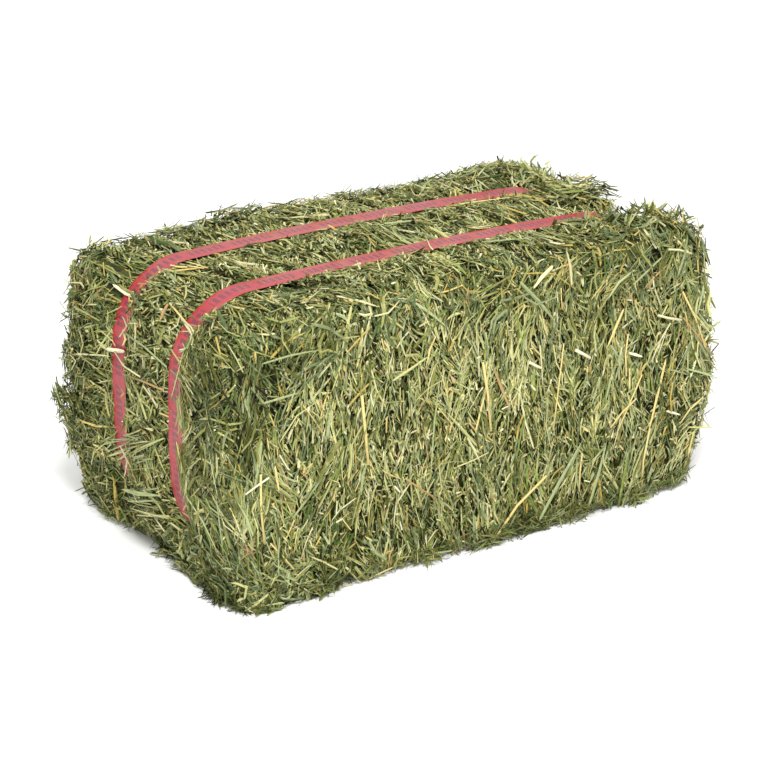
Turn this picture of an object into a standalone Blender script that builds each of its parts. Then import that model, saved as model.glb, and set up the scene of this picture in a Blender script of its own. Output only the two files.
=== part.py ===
"""Square hay bale: a stack of pressed flakes held by two flat plastic straps.

Metres, +Z up. X runs along the bale, through the flakes. Y runs across it, and the long
side at -Y is the one seen first. The origin is the middle of the underside.
"""

import math

import bmesh
import bpy
import numpy as np
from mathutils import Matrix, Vector

# The bale, measured over the packed hay and not over its loose ends.
LENGTH = 0.656
WIDTH = 0.382
HEIGHT = 0.325
FLAKES = 10
FLAKE_GAP = 0.0008

# How the press and the straps shape it. The edges are tighter at the foot than at the top.
TOP_EDGE_RADIUS = {-1: 0.036, 1: 0.023}
FOOT_EDGE_RADIUS = 0.013
CROWN = 0.008
END_BULGE = 0.010
BULGE_DEPTH = 0.12
FOOT_HEIGHT = 0.125
FOOT_CUT = 0.014
STRAP_FOOT_CUT = {-1: 0.054, 1: 0.026}
GROUND_BAND = 0.030

# The two straps, each one closed loop along the bale.
STRAP_Y = 0.0685
STRAP_WIDTH = 0.031
STRAP_THICKNESS = 0.0011
STRAP_BITE = 0.003
STRAP_END_BITE = {-1: 0.004, 1: 0.010}
STRAP_RADIUS = 0.080
STRAP_PULL_REACH = 0.052
CORNER_STEPS = 7
LONG_STEPS = 12
SHORT_STEPS = 7
WELD_LENGTH = 0.045
WELD_HEIGHT = 0.150

# The channel that a strap lies in. Low on the end at -X the hay closes over the strap.
CHANNEL_CLEARANCE = 0.0004
CHANNEL_SIDE_CLEARANCE = 0.0013
CHANNEL_DEPTH = 0.060
TUNNEL_DEPTH = 0.0025
TUNNEL_LOW = 0.012
TUNNEL_HIGH = 0.050

# The faceted surface of a flake.
RIM_POINTS = 44
RIDGE_COLUMNS = 5
END_RINGS = (0.86, 0.62, 0.30)
RIDGE_HEIGHT = 0.0040
LUMP_HEIGHT = 0.0042
FLAKE_STEP = 0.0016
SEAM_DIP = 0.0030

# Locks of stems that stand off the surface. Each step is a share of the height, a share of
# the length, and the width left.
LOCKS_PER_FLAKE = 6
LOCKS_PER_END = 8
LOCK_STEPS = ((0.55, 0.20, 0.82), (0.35, 0.45, 0.62), (0.10, 0.35, 0.36))
LOCK_HEIGHT = (0.006, 0.013)
LOCK_LENGTH = (0.018, 0.034)
STRAP_MARGIN = 0.008
LOWEST_LOCK = -0.8
LOCK_MARK = "lock"
SEED = 41

HALF = np.array([LENGTH / 2, WIDTH / 2, HEIGHT / 2])
HAY_COLOUR = (0.235, 0.235, 0.085, 1.0)
STRAP_COLOUR = (0.62, 0.075, 0.115, 1.0)


def clear_scene():
    for thing in list(bpy.data.objects):
        bpy.data.objects.remove(thing)


def new_collection(name):
    made = bpy.data.collections.new(name)
    bpy.context.scene.collection.children.link(made)
    return made


def plain_material(name, colour, roughness):
    made = bpy.data.materials.new(name)
    made.use_nodes = True
    shader = made.node_tree.nodes["Principled BSDF"]
    shader.inputs["Base Color"].default_value = colour
    shader.inputs["Roughness"].default_value = roughness
    shader.inputs["Metallic"].default_value = 0.0
    return made


def smooth_step(value):
    share = np.clip(value, 0.0, 1.0)
    return share * share * (3.0 - 2.0 * share)


def rounded(points, half, radius, axes):
    """Points of a sharp box brought onto the same box with rounded edges, and their normals.

    radius is one value, or one for each point as a column.
    """
    reach = half - radius + np.zeros_like(points)
    core = points.copy()
    core[:, axes] = np.clip(points[:, axes], -reach[:, axes], reach[:, axes])
    away = points - core
    away /= np.maximum(np.linalg.norm(away, axis=1, keepdims=True), 1e-9)
    return core + away * radius, away


def strap_pull(y, z):
    """How far the straps draw the hay in: 1 beneath a strap, 0 between them and on the underside."""
    aside = np.clip(np.abs(np.abs(y) - STRAP_Y) / STRAP_PULL_REACH, 0.0, 1.0)
    off_the_ground = smooth_step((z - GROUND_BAND) / (FOOT_HEIGHT - GROUND_BAND))
    return (1.0 - aside * aside) ** 2 * off_the_ground


def lumps(points):
    """Slow swells and fine ridges that run with the stems, in metres along the normal."""
    x, y, z = points.T
    swell = (
        np.sin(21.0 * x + 9.0 * z + 0.7)
        + np.sin(17.0 * y - 13.0 * x + 2.1)
        + np.sin(26.0 * z + 11.0 * y + 4.4)
        + np.sin(31.0 * x - 22.0 * y + 17.0 * z)
    )
    ridge = np.sin(243.0 * x + 7.0 * y + 9.0 * z) + np.sin(397.0 * x - 23.0 * y - 19.0 * z + 1.0)
    return 0.5 * LUMP_HEIGHT * swell + 0.5 * RIDGE_HEIGHT * ridge


def held_half(y):
    """Half sizes of the box that the straps hold the hay to. The two bite the ends unequally."""
    end_bite = np.where(y < 0, STRAP_END_BITE[-1], STRAP_END_BITE[1])
    return HALF - np.stack([end_bite, np.zeros_like(y), np.full_like(y, STRAP_BITE)], axis=-1)


def press(points, pull, step=0.0):
    """Takes points of the sharp box, centred on the bale, to the form of the bale.

    pull is 1 where a strap holds the hay and 0 where it is free. step pushes points out or in.
    """
    up = smooth_step(points[:, 2:] / HEIGHT + 0.5)
    along = smooth_step(points[:, :1] / LENGTH + 0.5)
    top_radius = TOP_EDGE_RADIUS[-1] + (TOP_EDGE_RADIUS[1] - TOP_EDGE_RADIUS[-1]) * along
    radius = FOOT_EDGE_RADIUS + (top_radius - FOOT_EDGE_RADIUS) * up
    free, normal = rounded(points, HALF, radius, [0, 1, 2])
    held, _ = rounded(points, held_half(points[:, 1]), STRAP_RADIUS, [0, 2])
    held[:, 1] = points[:, 1]
    pull = np.broadcast_to(pull, len(points))[:, None]
    above_ground = smooth_step((free[:, 2:] + HALF[2]) / GROUND_BAND)
    relief = lumps(free) + step
    free += normal * above_ground * relief[:, None] * (1.0 - pull)
    form = free + pull * (held - free)
    x, y, z = form.T
    share = np.clip((z + HALF[2]) / HEIGHT, 0.0, 1.0)
    side = np.where(x < 0, -1, 1)
    at_end = smooth_step((np.abs(x) - HALF[0] + BULGE_DEPTH) / BULGE_DEPTH)
    below = np.clip(1.0 - (z + HALF[2]) / FOOT_HEIGHT, 0.0, 1.0) ** 2
    strap_cut = np.where(side < 0, STRAP_FOOT_CUT[-1], STRAP_FOOT_CUT[1])
    inward = (FOOT_CUT + pull[:, 0] * (strap_cut - FOOT_CUT)) * below
    bulge = END_BULGE * (1.0 - (2.0 * share - 1.0) ** 2)
    crown = CROWN * (1.0 - (x / HALF[0]) ** 2) * share
    return np.stack([x + side * at_end * (bulge - inward), y, z + HALF[2] + crown], axis=1)


def strap_line(y, offset):
    """The closed line of the strap at y, in its own plane as (x, z), moved outwards by offset.

    It follows a rounded rectangle: long steps on the flats, short ones round the corners.
    """
    half_x, _, half_z = held_half(np.array(y))
    middle = np.array([half_x, half_z]) - STRAP_RADIUS
    quarter_turn = np.linspace(0.0, math.pi / 2, CORNER_STEPS + 1)
    corners = np.array([(1, 1), (-1, 1), (-1, -1), (1, -1)])
    nominal = []
    for quarter, corner in enumerate(corners):
        turn = quarter_turn + quarter * math.pi / 2
        arc = corner * middle + STRAP_RADIUS * np.column_stack([np.cos(turn), np.sin(turn)])
        following = corners[(quarter + 1) % 4] * middle
        after = arc[-1] + following - corner * middle
        steps = LONG_STEPS if quarter % 2 == 0 else SHORT_STEPS
        share = np.arange(1, steps)[:, None] / steps
        nominal += [arc, arc[-1] + share * (after - arc[-1])]
    flat = np.concatenate(nominal)
    points = press(np.column_stack([flat[:, 0], np.full(len(flat), y), flat[:, 1]]), 1.0)
    line = points[:, [0, 2]]
    ahead = np.roll(line, -1, axis=0) - np.roll(line, 1, axis=0)
    outward = np.column_stack([ahead[:, 1], -ahead[:, 0]])
    outward /= np.linalg.norm(outward, axis=1, keepdims=True)
    return line + outward * np.reshape(offset, (-1, 1))


def weld_offset(y):
    """Where the strap's two ends lie on each other, it is twice as thick."""
    x, z = strap_line(y, 0.0).T
    welded = (x > HALF[0] - STRAP_RADIUS) & (np.abs(z - WELD_HEIGHT) < WELD_LENGTH / 2)
    return np.where(welded, 2.0, 1.0) * STRAP_THICKNESS


def channel_offset(y):
    """How far the cutter reaches out of the hay: right through, but a tunnel low on one end."""
    x, z = strap_line(y, 0.0).T
    covered = (z > TUNNEL_LOW) & (z < TUNNEL_HIGH) & (x < 0)
    return np.where(covered, TUNNEL_DEPTH, CHANNEL_DEPTH)


def band(name, outer, inner, width, y):
    """A closed flat band: two outlines filled between and extruded across the bale."""
    curve = bpy.data.curves.new(name, "CURVE")
    curve.dimensions = "2D"
    curve.fill_mode = "BOTH"
    curve.extrude = width / 2
    for line in (outer, inner):
        spline = curve.splines.new("POLY")
        spline.points.add(len(line) - 1)
        flat = np.zeros((len(line), 4))
        flat[:, :2] = line
        flat[:, 3] = 1.0
        spline.points.foreach_set("co", flat.ravel())
        spline.use_cyclic_u = True
    rough = bpy.data.objects.new(name + "_curve", curve)
    bpy.context.scene.collection.objects.link(rough)
    rough.matrix_world = Matrix.Translation((0, y, 0)) @ Matrix.Rotation(math.pi / 2, 4, "X")
    bpy.context.view_layer.update()
    graph = bpy.context.evaluated_depsgraph_get()
    mesh = bpy.data.meshes.new_from_object(rough.evaluated_get(graph))
    cleaned = bmesh.new()
    cleaned.from_mesh(mesh)
    bmesh.ops.remove_doubles(cleaned, verts=cleaned.verts, dist=1e-5)
    bmesh.ops.recalc_face_normals(cleaned, faces=cleaned.faces)
    cleaned.to_mesh(mesh)
    cleaned.free()
    made = bpy.data.objects.new(name, mesh)
    made.matrix_world = rough.matrix_world.copy()
    bpy.data.objects.remove(rough)
    return made


def make_strap(name, y, collection, material):
    made = band(name, strap_line(y, weld_offset(y)), strap_line(y, 0.0), STRAP_WIDTH, y)
    made.data.materials.clear()
    made.data.materials.append(material)
    collection.objects.link(made)


def make_channel(name, y, collection):
    """The cutter that leaves room in the hay for a strap."""
    outer = strap_line(y, channel_offset(y))
    inner = strap_line(y, -CHANNEL_CLEARANCE)
    made = band(name, outer, inner, STRAP_WIDTH + 2 * CHANNEL_SIDE_CLEARANCE, y)
    made.hide_render = True
    made.display_type = "WIRE"
    collection.objects.link(made)
    return made


def square_walk(turn):
    """A point on the outline of the bale's cross-section, as (y, z), for a share of the way round.

    The points lie closer together towards the corners.
    """
    side, along = np.divmod(np.asarray(turn) * 4.0, 1.0)
    even = 2.0 * along - 1.0
    run = 0.5 * (even + np.sin(even * math.pi / 2))
    y = np.choose(side.astype(int) % 4, [run, np.ones_like(run), -run, -np.ones_like(run)])
    z = np.choose(side.astype(int) % 4, [-np.ones_like(run), run, np.ones_like(run), -run])
    return np.stack([y * HALF[1], z * HALF[2]], axis=-1)


def slab_cage(low, high, end):
    """A drum of RIM_POINTS sides between two planes, its faces cut into columns.

    end is -1 or 1 for the outermost flakes, whose outer face gets rings, and 0 for the rest.
    """
    cage = bmesh.new()
    bmesh.ops.create_cone(
        cage, cap_ends=True, segments=RIM_POINTS, radius1=1.0, radius2=1.0, depth=high - low
    )
    across = [e for e in cage.edges if abs(e.verts[0].co.z - e.verts[1].co.z) > 1e-6]
    bmesh.ops.subdivide_edges(cage, edges=across, cuts=RIDGE_COLUMNS - 1)
    for face_side in (-1, 1):
        cap = max(cage.faces, key=lambda f: f.calc_center_median().z * face_side)
        middle = cap.calc_center_median()
        for reach in END_RINGS if face_side == end else ():
            bmesh.ops.inset_individual(cage, faces=[cap], thickness=0.01)
            for vert in cap.verts:
                vert.co = middle + (vert.co - middle).normalized() * reach
        bmesh.ops.poke(cage, faces=[cap])
    for vert in cage.verts:
        vert.co.z += (low + high) / 2
    cage.verts.index_update()
    return cage


def nominal_points(cage):
    """Each cage vertex as a point of the sharp box: its height is X, its turn runs round Y and Z."""
    flat = np.array([vert.co for vert in cage.verts])
    turn = np.arctan2(flat[:, 1], flat[:, 0]) / (2.0 * math.pi)
    reach = np.hypot(flat[:, 0], flat[:, 1])
    outline = square_walk(np.round(turn * RIM_POINTS) / RIM_POINTS % 1.0)
    return np.column_stack([flat[:, 2], outline * reach[:, None]])


def lock_faces(cage, nominal, end, dice):
    """Faces that a lock can grow from. They never touch, and they keep clear of the straps."""
    clear = STRAP_WIDTH / 2 + STRAP_MARGIN
    sides, ends = [], []
    for face in cage.faces:
        corners = nominal[[vert.index for vert in face.verts]]
        x, _, z = corners.mean(axis=0)
        across = np.abs(corners[:, 1])
        by_strap = across.max() > STRAP_Y - clear and across.min() < STRAP_Y + clear
        centre = face.calc_center_median()
        row = math.floor(math.atan2(centre.y, centre.x) / (2 * math.pi) * RIM_POINTS)
        if len(corners) != 4 or by_strap or row % 2 or z < LOWEST_LOCK * HALF[2]:
            continue
        column = int((x + LENGTH / 2) / LENGTH * FLAKES * RIDGE_COLUMNS) % RIDGE_COLUMNS
        on_side = np.ptp(corners[:, 0]) > 1e-4
        if on_side and column % 2 == 0:
            sides.append(face)
        if not on_side and np.hypot(centre.x, centre.y) < END_RINGS[0]:
            ends.append(face)
    chosen = [sides[i] for i in dice.permutation(len(sides))[:LOCKS_PER_FLAKE]]
    if end:
        chosen += [ends[i] for i in dice.permutation(len(ends))[:LOCKS_PER_END]]
    return chosen


def lock_lean(normal, centre, dice):
    """The way a lock's tip points: across the top, mostly down the sides, any way on the ends.

    It never points at a strap.
    """
    between_straps = abs(centre.y) < STRAP_Y
    clear_way = -math.copysign(1.0, centre.y) if between_straps else math.copysign(1.0, centre.y)
    if abs(normal.x) > 0.6:
        sideways = 0.2 if between_straps else 1.0
        stems = Vector((0, clear_way * sideways * float(dice.uniform()), float(dice.uniform(-1, 0.2))))
    elif abs(normal.z) < 0.6:
        upwards = centre.z < 0.5 * HEIGHT and dice.uniform() < 0.4
        stems = Vector((0, 0, 1 if upwards else -1))
    else:
        stems = Vector((0, clear_way, 0))
    return (stems - normal * stems.dot(normal)).normalized()


def grow_locks(hay, dice):
    """Draws each marked face out in steps into a tapered lock that leans along the stems."""
    mark = hay.faces.layers.int[LOCK_MARK]
    for face in [f for f in hay.faces if f[mark]]:
        normal = face.normal.copy()
        if abs(normal.x) < 0.6:
            normal = Vector((0, normal.y, normal.z)).normalized()
        lean = lock_lean(normal, face.calc_center_median(), dice)
        height = float(dice.uniform(*LOCK_HEIGHT))
        length = float(dice.uniform(*LOCK_LENGTH))
        for up_share, along_share, taper in LOCK_STEPS:
            face = bmesh.ops.extrude_discrete_faces(hay, faces=[face])["faces"][0]
            middle = face.calc_center_median()
            shift = normal * height * up_share + lean * length * along_share
            for vert in face.verts:
                vert.co = middle + (vert.co - middle) * taper + shift


def cut_channels(mesh, channels):
    """The mesh with the strap channels taken out of it."""
    rough = bpy.data.objects.new("rough", mesh)
    bpy.context.scene.collection.objects.link(rough)
    for channel in channels:
        cut = rough.modifiers.new(channel.name, "BOOLEAN")
        cut.operation = "DIFFERENCE"
        cut.solver = "EXACT"
        cut.object = channel
    bpy.context.view_layer.update()
    graph = bpy.context.evaluated_depsgraph_get()
    made = bpy.data.meshes.new_from_object(rough.evaluated_get(graph))
    bpy.data.objects.remove(rough)
    return made


def flake_span(number):
    """The planes that a flake lies between, and -1 or 1 if it is the first or the last."""
    thickness = LENGTH / FLAKES
    low = -LENGTH / 2 + number * thickness
    end = {0: -1, FLAKES - 1: 1}.get(number, 0)
    low_gap = 0.0 if end == -1 else FLAKE_GAP / 2
    high_gap = 0.0 if end == 1 else FLAKE_GAP / 2
    return low + low_gap, low + thickness - high_gap, end


def press_flake(cage, nominal, low, high, end, bulge):
    """Moves the cage's vertices to the bale's form. Its rims dip where it meets its neighbours."""
    seams = [low] * (end != -1) + [high] * (end != 1)
    at_seam = np.isclose(nominal[:, :1], seams, atol=1e-5).any(axis=1)
    pull = strap_pull(nominal[:, 1], nominal[:, 2] + HALF[2])
    pressed = press(nominal, pull, bulge - SEAM_DIP * at_seam)
    for vert, place in zip(cage.verts, pressed):
        vert.co = place
    bmesh.ops.recalc_face_normals(cage, faces=cage.faces)


def make_flake(number, collection, material, channels):
    dice = np.random.default_rng(SEED + number)
    low, high, end = flake_span(number)
    cage = slab_cage(low, high, end)
    nominal = nominal_points(cage)
    mark = cage.faces.layers.int.new(LOCK_MARK)
    for face in lock_faces(cage, nominal, end, dice):
        face[mark] = 1
    press_flake(cage, nominal, low, high, end, float(dice.uniform(-1, 1)) * FLAKE_STEP)
    bmesh.ops.triangulate(cage, faces=[f for f in cage.faces if not f[mark]])
    rough = bpy.data.meshes.new("rough")
    cage.to_mesh(rough)
    cage.free()
    mesh = cut_channels(rough, channels)
    hay = bmesh.new()
    hay.from_mesh(mesh)
    grow_locks(hay, dice)
    hay.to_mesh(mesh)
    hay.free()
    mesh.materials.clear()
    mesh.materials.append(material)
    made = bpy.data.objects.new(f"flake_{number + 1:02d}", mesh)
    collection.objects.link(made)


def main():
    clear_scene()
    bale = new_collection("hay_bale")
    cutters = new_collection("cutters")
    hay = plain_material("hay", HAY_COLOUR, 0.85)
    plastic = plain_material("strap_plastic", STRAP_COLOUR, 0.38)
    places = {"front": -STRAP_Y, "back": STRAP_Y}
    channels = [make_channel("channel_" + side, y, cutters) for side, y in places.items()]
    for number in range(FLAKES):
        make_flake(number, bale, hay, channels)
    for side, y in places.items():
        make_strap("strap_" + side, y, bale, plastic)


main()
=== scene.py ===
# %% [markdown]
# # A square hay bale, stem by stem
# A bale is ten pressed slices of dried grass, called flakes, in two flat plastic straps. The CAD
# model gives them as plain solids. This file dresses them: a hundred thousand leaves, stems and
# bits of chaff lie over a dark core, and the straps become thin bands with a weave. Lengths are
# in metres where nothing else is said. X runs along the bale, Y across it and Z up.

import bpy
import numpy as np
from mathutils import Matrix, Vector


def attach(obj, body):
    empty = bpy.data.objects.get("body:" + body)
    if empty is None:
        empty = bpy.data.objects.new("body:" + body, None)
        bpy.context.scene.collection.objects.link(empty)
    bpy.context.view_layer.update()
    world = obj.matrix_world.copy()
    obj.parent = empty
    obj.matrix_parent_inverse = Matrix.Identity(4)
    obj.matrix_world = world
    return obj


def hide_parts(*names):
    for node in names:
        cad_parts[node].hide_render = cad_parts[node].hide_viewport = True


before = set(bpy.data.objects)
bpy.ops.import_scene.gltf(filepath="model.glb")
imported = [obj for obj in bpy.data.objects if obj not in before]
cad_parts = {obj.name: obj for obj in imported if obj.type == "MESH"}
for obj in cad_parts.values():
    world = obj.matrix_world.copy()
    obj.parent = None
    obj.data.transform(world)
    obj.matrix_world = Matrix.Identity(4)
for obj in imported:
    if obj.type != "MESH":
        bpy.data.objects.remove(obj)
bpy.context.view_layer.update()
flake_names = sorted(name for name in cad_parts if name.startswith("flake"))

# %% [markdown]
# ## The camera
# A photograph of a box tells where it was taken from: its three sets of parallel edges fix how
# far the camera is turned and tipped, and how fast they draw together fixes its distance. The
# lens is a long one, so near and far edges look almost the same size.

# %% Place the camera
CAMERA_TURN = np.radians(35.01)
CAMERA_TIP = np.radians(20.30)
CAMERA_DISTANCE = 2.943
CAMERA_ASIDE = 0.0074
CAMERA_LIFT = -0.1326
SENSOR = 36.0
LENS = SENSOR * 2426.0 / 768.0


def place_camera():
    """The camera stands back along its own line of sight, moved aside and up in its own picture."""
    level = np.cos(CAMERA_TIP)
    ahead = Vector((np.sin(CAMERA_TURN) * level, np.cos(CAMERA_TURN) * level, -np.sin(CAMERA_TIP)))
    right = Vector((np.cos(CAMERA_TURN), -np.sin(CAMERA_TURN), 0.0))
    up = right.cross(ahead)
    camera = bpy.data.objects.new("camera", bpy.data.cameras.new("camera"))
    camera.data.lens = LENS
    camera.data.sensor_width = SENSOR
    turned = Matrix((right, up, -ahead)).transposed().to_4x4()
    turned.translation = -CAMERA_DISTANCE * ahead - CAMERA_ASIDE * right - CAMERA_LIFT * up
    camera.matrix_world = turned
    bpy.context.scene.collection.objects.link(camera)
    bpy.context.scene.camera = camera
    return camera


camera = place_camera()
print("camera at", [round(c, 3) for c in camera.location], "lens", round(LENS, 1), "mm")

# %% [markdown]
# ## The form that the hay is pressed to
# The baler presses a sharp box, and the box does not stay sharp: its edges wear round, its ends
# swell between the straps, its top crowns, and each strap draws the hay in around itself. One
# function moves points of the sharp box onto that form, so a leaf that is laid out on a flat
# side follows every swell. The numbers shaped the CAD solids too, but for the first two of the
# pull, which lay the hay flat under a strap and hold it there lower down.

# %% The pressed form
PULL_FLAT = 0.011
PULL_FULL = 0.075
LENGTH = 0.656
WIDTH = 0.382
HEIGHT = 0.325
HALF = np.array([LENGTH / 2, WIDTH / 2, HEIGHT / 2])
EDGE_RADIUS = {"top_left": 0.036, "top_right": 0.023, "foot": 0.013}
CROWN = 0.008
END_BULGE = 0.010
BULGE_DEPTH = 0.12
FOOT_HEIGHT = 0.125
FOOT_CUT = 0.014
STRAP_FOOT_CUT = (0.054, 0.026)
GROUND_BAND = 0.030
STRAP_Y = 0.0685
STRAP_WIDTH = 0.031
STRAP_THICKNESS = 0.0011
STRAP_BITE = 0.003
STRAP_END_BITE = (0.004, 0.010)
STRAP_RADIUS = 0.080
STRAP_PULL_REACH = 0.052
LUMP_HEIGHT = 0.0042
TINY = 1e-9


def smooth_step(value):
    """0 below 0, 1 above 1, and 3v^2 - 2v^3 between."""
    share = np.clip(value, 0.0, 1.0)
    return share * share * (3.0 - 2.0 * share)


def unit(vectors):
    """Each vector divided by its own length."""
    return vectors / np.maximum(np.linalg.norm(vectors, axis=-1, keepdims=True), TINY)


def rounded(points, half, radius, flat_axis=None):
    """Each point moves to the ball of that radius round the nearest point of the inner box."""
    reach = half - radius + np.zeros_like(points)
    core = np.clip(points, -reach, reach)
    if flat_axis is not None:
        core[:, flat_axis] = points[:, flat_axis]
    away = unit(points - core)
    return core + away * radius, away


def lumps(points):
    """Four slow sine waves that cross each other, in metres along the normal."""
    x, y, z = points.T
    swell = np.sin(21.0 * x + 9.0 * z + 0.7) + np.sin(17.0 * y - 13.0 * x + 2.1)
    swell += np.sin(26.0 * z + 11.0 * y + 4.4) + np.sin(31.0 * x - 22.0 * y + 17.0 * z)
    return 0.5 * LUMP_HEIGHT * swell


def strap_pull(y, z):
    """How far the straps draw the hay in: 1 beneath a strap, 0 between them and on the underside."""
    aside = np.abs(np.abs(y) - STRAP_Y) - PULL_FLAT
    aside = np.clip(aside / (STRAP_PULL_REACH - PULL_FLAT), 0.0, 1.0)
    return (1.0 - aside * aside) ** 2 * smooth_step((z - GROUND_BAND) / (PULL_FULL - GROUND_BAND))


def press(points, pull=None):
    """A rounded box with lumps, blended towards the straps' box by pull, then swollen and cut."""
    if pull is None:
        pull = strap_pull(points[:, 1], points[:, 2] + HALF[2])
    pull = np.broadcast_to(pull, len(points))[:, None]
    up = smooth_step(points[:, 2:] / HEIGHT + 0.5)
    along = smooth_step(points[:, :1] / LENGTH + 0.5)
    top = EDGE_RADIUS["top_left"] + (EDGE_RADIUS["top_right"] - EDGE_RADIUS["top_left"]) * along
    free, normal = rounded(points, HALF, EDGE_RADIUS["foot"] + (top - EDGE_RADIUS["foot"]) * up)
    end_bite = np.where(points[:, 1] < 0, STRAP_END_BITE[0], STRAP_END_BITE[1])
    strap_bite = np.stack([end_bite, 0.0 * end_bite, 0.0 * end_bite + STRAP_BITE], axis=1)
    held = rounded(points, HALF - strap_bite, STRAP_RADIUS, flat_axis=1)[0]
    above_ground = smooth_step((free[:, 2:] + HALF[2]) / GROUND_BAND)
    free += normal * above_ground * lumps(free)[:, None] * (1.0 - pull)
    x, y, z = (free + pull * (held - free)).T
    share = np.clip((z + HALF[2]) / HEIGHT, 0.0, 1.0)
    at_end = smooth_step((np.abs(x) - HALF[0] + BULGE_DEPTH) / BULGE_DEPTH)
    below = np.clip(1.0 - (z + HALF[2]) / FOOT_HEIGHT, 0.0, 1.0) ** 2
    strap_cut = np.where(x < 0, STRAP_FOOT_CUT[0], STRAP_FOOT_CUT[1])
    inward = (FOOT_CUT + pull[:, 0] * (strap_cut - FOOT_CUT)) * below
    bulge = END_BULGE * (1.0 - (2.0 * share - 1.0) ** 2)
    crown = CROWN * (1.0 - (x / HALF[0]) ** 2) * share
    return np.stack([x + np.sign(x) * at_end * (bulge - inward), y, z + HALF[2] + crown], axis=1)


corner = press(HALF[None] * np.array([[-1.0, -1.0, 1.0]]))[0]
print("the near top corner is pressed to", corner.round(3))

# %% [markdown]
# ## Six sides to lay hay on
# On the long sides and the top the stems run in the plane of the flakes, so they stand upright
# on the sides and lie across the top. The two ends show the broad side of a flake, where stems
# lie every way. A side is its outward axis, the two axes that lie in it, the turn of its stems
# in degrees, how dense and how short they are, and how much lighter than the front its hay is
# painted: painted shade, which makes the top and the two ends darker than the front.

# %% The sides of the bale
SIDE_COLUMNS = ("normal", "first", "second", "turn", "dense", "short", "light")
# The light column is painted shade: the top and the two ends are painted darker than the front.
SIDES = {
    "front": ((0, -1, 0), (1, 0, 0), (0, 0, 1), 90.0, 1.0, 1.0, 0.0),
    "back": ((0, 1, 0), (1, 0, 0), (0, 0, 1), 90.0, 0.8, 1.0, 0.0),
    "top": ((0, 0, 1), (1, 0, 0), (0, 1, 0), 94.0, 1.0, 0.75, -0.15),
    "foot": ((0, 0, -1), (1, 0, 0), (0, 1, 0), 90.0, 0.15, 1.0, 0.0),
    "near_end": ((-1, 0, 0), (0, 1, 0), (0, 0, 1), -14.0, 1.0, 0.85, -0.07),
    "far_end": ((1, 0, 0), (0, 1, 0), (0, 0, 1), 12.0, 0.8, 0.85, -0.22),
}
SIDES = {name: dict(zip(SIDE_COLUMNS, row)) for name, row in SIDES.items()}
SEED = 7
random = np.random.default_rng(SEED)


def side_axes(name):
    """The outward axis and the two axes in a side, as rows of an array."""
    side = SIDES[name]
    return np.array([side["normal"], side["first"], side["second"]], float)


def drift(points, waves, seed):
    """A smooth field between about -1 and 1: a sum of sine waves in random directions."""
    draw = np.random.default_rng(seed)
    directions = draw.normal(size=(6, 3))
    directions *= waves * draw.uniform(0.6, 1.5, (6, 1)) / np.linalg.norm(directions, axis=1, keepdims=True)
    phases = draw.uniform(0.0, 2.0 * np.pi, 6)
    return np.sin(points @ directions.T + phases).sum(axis=1) / 3.0


def side_area(side):
    """A side's area: its two lengths multiplied."""
    _, first, second = side_axes(side)
    return 4.0 * np.abs(HALF @ first) * np.abs(HALF @ second)


print("square metres", {name: round(side_area(name), 3) for name in SIDES})

# %% [markdown]
# ## Where a stem lies
# A stem is a slightly bent line on a side of the sharp box, and pressing that line gives the
# real one. Two things keep it from looking ironed on. A stem is stiff, so it follows the form
# only in part, which makes the ragged outline at the edges. And each one lies at its own height
# above or below the form, with its tips turned out. Under a strap every stem is held down.

# %% Centre lines of the stems
STATIONS = np.linspace(0.0, 1.0, 5)
STRAP_HALF_WIDTH = STRAP_WIDTH / 2
BENEATH_STRAP = -0.0016
STRAP_SLOPE = 0.9
SLOPE_REACH = 0.012
FREE_HEIGHT = 1.0
COVERED_BELOW = (0.052, 0.072)
COVER_BAND = 0.024
COVER_HEIGHT = 0.012
GROUND_CLEARANCE = 0.0006
PROBE = 0.002


def form_and_normal(points, first, second, outward):
    """The pressed point and the cross product of two short steps along the side, turned outwards."""
    along = press(points + PROBE * first) - press(points - PROBE * first)
    across = press(points + PROBE * second) - press(points - PROBE * second)
    normal = np.cross(along, across)
    normal *= np.sign((normal * outward).sum(axis=1, keepdims=True) + TINY ** 2)
    return press(points), unit(normal), unit(along)


def strap_ceiling(points, creep):
    """The greatest height that hay may have here: free away from a strap and below it under one.

    Creep is how far hay lies over the strap's edge. Low on the near end the hay covers the strap.
    """
    aside = np.abs(np.abs(points[:, 1]) - STRAP_Y) - (STRAP_HALF_WIDTH - creep)
    covered_below = np.where(points[:, 1] < 0, COVERED_BELOW[0], COVERED_BELOW[1])
    covered = (points[:, 0] < 0) * smooth_step((covered_below - points[:, 2]) / COVER_BAND)
    ceiling = BENEATH_STRAP + STRAP_SLOPE * np.maximum(aside, 0.0)
    return np.where(aside > SLOPE_REACH, FREE_HEIGHT, ceiling + COVER_HEIGHT * covered)


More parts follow.
